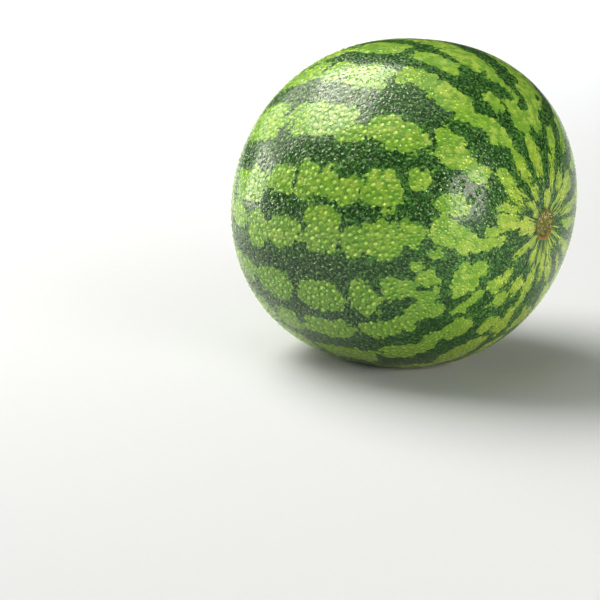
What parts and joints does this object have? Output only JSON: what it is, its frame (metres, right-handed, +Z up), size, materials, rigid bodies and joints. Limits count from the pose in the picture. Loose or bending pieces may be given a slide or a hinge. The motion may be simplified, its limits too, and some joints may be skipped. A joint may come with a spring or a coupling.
{
  "type": "watermelon",
  "caption": "Whole round striped watermelon lying on its flat ground spot, with a ringed blossom scar at one end and a short cut stalk at the other.",
  "frame": {"origin": "on the ground under the middle of the fruit's bounding box, stalk included", "axes": "+X along the core line, from the cut stalk to the blossom scar; +Z up from the ground spot; +Y makes a right-handed set"},
  "size_m": [0.2374, 0.2192, 0.2164],
  "materials": {
    "rind": "waxy green striped rind, lightly glossy, wet"
  },
  "bodies": {
    "root": {"watermelon": "rind"}
  },
  "joints": []
}
